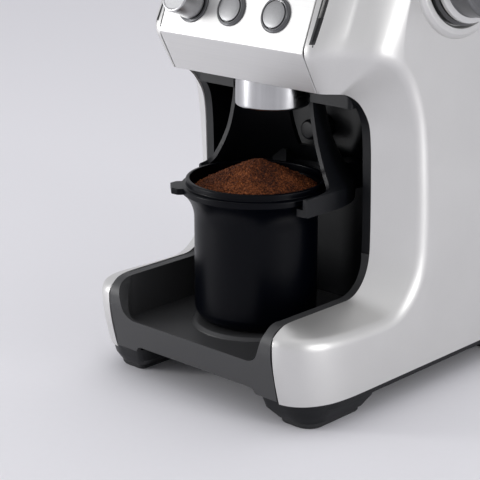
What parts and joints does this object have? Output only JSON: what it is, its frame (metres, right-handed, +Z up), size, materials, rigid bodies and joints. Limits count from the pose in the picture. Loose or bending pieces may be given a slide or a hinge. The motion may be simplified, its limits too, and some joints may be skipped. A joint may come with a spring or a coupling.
{
  "type": "burr coffee grinder",
  "caption": "Countertop burr coffee grinder with a silver C-shaped casing, open dosing bay, cradle and cup, pull-out tray, side grind dial and clear bean hopper.",
  "frame": {"origin": "on the floor plane, at the middle of the overall width and depth; the casing's own middle plane is 8.875 mm to the -X side because the dial stands out on +X", "axes": "+Z up, -Y towards the user, +X towards the grind-size dial"},
  "size_m": [0.1598, 0.2165, 0.389],
  "materials": {
    "silver_shell": "satin silver",
    "panel_steel": "fine horizontal brushing",
    "collar_steel": "turned and brushed",
    "matte_black": "fine moulded texture",
    "gloss_black": "polished moulding",
    "grey_plastic": "plain moulding",
    "rubber": "matte rubber",
    "control_metal": "satin turned aluminium",
    "dark_metal": "dark anodised",
    "tinted_clear": "smoke tinted clear",
    "coffee": "coarse ground coffee",
    "circuit_board": "lacquered board",
    "hard_steel": "ground steel",
    "gear_nylon": "natural nylon",
    "brass": "turned brass",
    "motor_steel": "zinc-plated can"
  },
  "bodies": {
    "housing": {"base_plate": "matte_black", "front_feet": "rubber", "rear_feet": "rubber", "base_screws": "hard_steel", "left_side_shell": "silver_shell", "right_side_shell": "silver_shell", "rear_cover": "silver_shell", "cord_gland": "rubber", "top_deck": "gloss_black", "control_panel": "panel_steel", "display_window": "gloss_black", "control_board": "circuit_board", "button_switches": "grey_plastic", "knob_encoder": "grey_plastic", "knob_base_ring": "dark_metal", "button_rings": "dark_metal", "alcove_liner": "matte_black", "outlet_chute": "grey_plastic", "outlet_collar": "collar_steel", "cradle_bracket": "matte_black", "trigger_switch": "grey_plastic", "trigger_spring": "hard_steel", "dial_flange": "panel_steel", "dial_ring": "gloss_black", "dial_bush": "brass", "grind_chamber": "grey_plastic", "spindle_bearings": "hard_steel", "gearbox_housing": "grey_plastic", "gearbox_cover": "grey_plastic", "intermediate_pin": "hard_steel", "motor_can": "motor_steel", "motor_mounts": "rubber", "power_board": "circuit_board"},
    "amount_knob": {"amount_knob": "control_metal"},
    "program_button": {"program_button": "control_metal"},
    "start_button": {"start_button": "control_metal"},
    "trigger_button": {"trigger_button": "matte_black"},
    "grinds_tray": {"grinds_tray": "matte_black"},
    "cradle": {"portafilter_cradle": "matte_black"},
    "dosing_cup": {"dosing_cup": "matte_black", "coffee_grounds": "coffee"},
    "grind_dial": {"grind_size_dial": "control_metal", "dial_shaft": "hard_steel", "dial_pinion": "gear_nylon"},
    "adjusting_collar": {"adjusting_collar": "grey_plastic"},
    "upper_burr": {"upper_burr": "hard_steel", "upper_burr_carrier": "grey_plastic"},
    "burr_spindle": {"burr_spindle": "hard_steel", "lower_burr": "hard_steel", "burr_lock_nut": "hard_steel", "impeller": "grey_plastic", "output_gear": "gear_nylon"},
    "intermediate_gear": {"intermediate_gear": "gear_nylon"},
    "motor_rotor": {"motor_shaft": "hard_steel", "motor_pinion": "brass"},
    "hopper": {"bean_hopper": "tinted_clear"},
    "hopper_lid": {"hopper_lid": "gloss_black", "lid_gasket": "rubber"},
    "hopper_lock": {"hopper_lock_knob": "gloss_black"}
  },
  "joints": [
    {"name": "amount_knob_turn", "type": "hinge", "parent": "housing", "child": "amount_knob", "pos_m": [-0.03547, -0.0737, 0.17976], "axis": [0, -0.9298, 0.3682], "continuous": true},
    {"name": "program_button_press", "type": "slide", "parent": "housing", "child": "program_button", "axis": [0, 0.9298, -0.3682], "range_m": [0, 0.001], "stiffness_N_per_m": 400, "springref_m": -0.001},
    {"name": "start_button_press", "type": "slide", "parent": "housing", "child": "start_button", "axis": [0, 0.9298, -0.3682], "range_m": [0, 0.001], "stiffness_N_per_m": 400, "springref_m": -0.001},
    {"name": "trigger_button_press", "type": "slide", "parent": "housing", "child": "trigger_button", "axis": [0, 1, 0], "range_m": [0, 0.003], "stiffness_N_per_m": 250, "springref_m": -0.001, "deforming": ["trigger_spring"]},
    {"name": "grinds_tray_pull", "type": "slide", "parent": "housing", "child": "grinds_tray", "axis": [0, -1, 0], "range_m": [0, 0.11]},
    {"name": "cradle_pull", "type": "slide", "parent": "housing", "child": "cradle", "axis": [0, -1, 0], "range_m": [0, 0.06]},
    {"name": "dosing_cup_pull", "type": "slide", "parent": "cradle", "child": "dosing_cup", "axis": [0, -1, 0], "range_m": [0, 0.1]},
    {"name": "grind_dial_turn", "type": "hinge", "parent": "housing", "child": "grind_dial", "pos_m": [0.06212, -0.0008, 0.2024], "axis": [1, 0, 0], "range_deg": [-150, 150]},
    {"name": "adjusting_collar_turn", "type": "hinge", "parent": "housing", "child": "adjusting_collar", "pos_m": [-0.00887, -0.0008, 0.199], "axis": [0, 0, 1], "range_deg": [-40.1, 40.1]},
    {"name": "upper_burr_rise", "type": "slide", "parent": "adjusting_collar", "child": "upper_burr", "axis": [0, 0, 1], "range_m": [-0.0006, 0.0006]},
    {"name": "burr_spindle_spin", "type": "hinge", "parent": "housing", "child": "burr_spindle", "pos_m": [-0.00887, -0.0008, 0.1534], "axis": [0, 0, 1], "continuous": true},
    {"name": "intermediate_gear_spin", "type": "hinge", "parent": "housing", "child": "intermediate_gear", "pos_m": [0.01776, 0.0256, 0.1586], "axis": [0, 0, 1], "continuous": true},
    {"name": "motor_rotor_spin", "type": "hinge", "parent": "housing", "child": "motor_rotor", "pos_m": [-0.00887, 0.052, 0.1495], "axis": [0, 0, 1], "continuous": true},
    {"name": "hopper_lift", "type": "slide", "parent": "housing", "child": "hopper", "axis": [0, 0, 1], "range_m": [0, 0.12]},
    {"name": "hopper_lid_lift", "type": "slide", "parent": "hopper", "child": "hopper_lid", "axis": [0, 0, 1], "range_m": [0, 0.06]},
    {"name": "hopper_lock_turn", "type": "hinge", "parent": "hopper", "child": "hopper_lock", "pos_m": [-0.00887, -0.0008, 0.306], "axis": [0, 0, 1], "range_deg": [0, 90]}
  ],
  "couplings": [
    {"joint": "adjusting_collar_turn", "follows": "grind_dial_turn", "ratio": 0.26667},
    {"joint": "upper_burr_rise", "follows": "grind_dial_turn", "m_per_rad": 0.00022536},
    {"joint": "intermediate_gear_spin", "follows": "motor_rotor_spin", "ratio": -0.25},
    {"joint": "burr_spindle_spin", "follows": "motor_rotor_spin", "ratio": 0.076087}
  ]
}
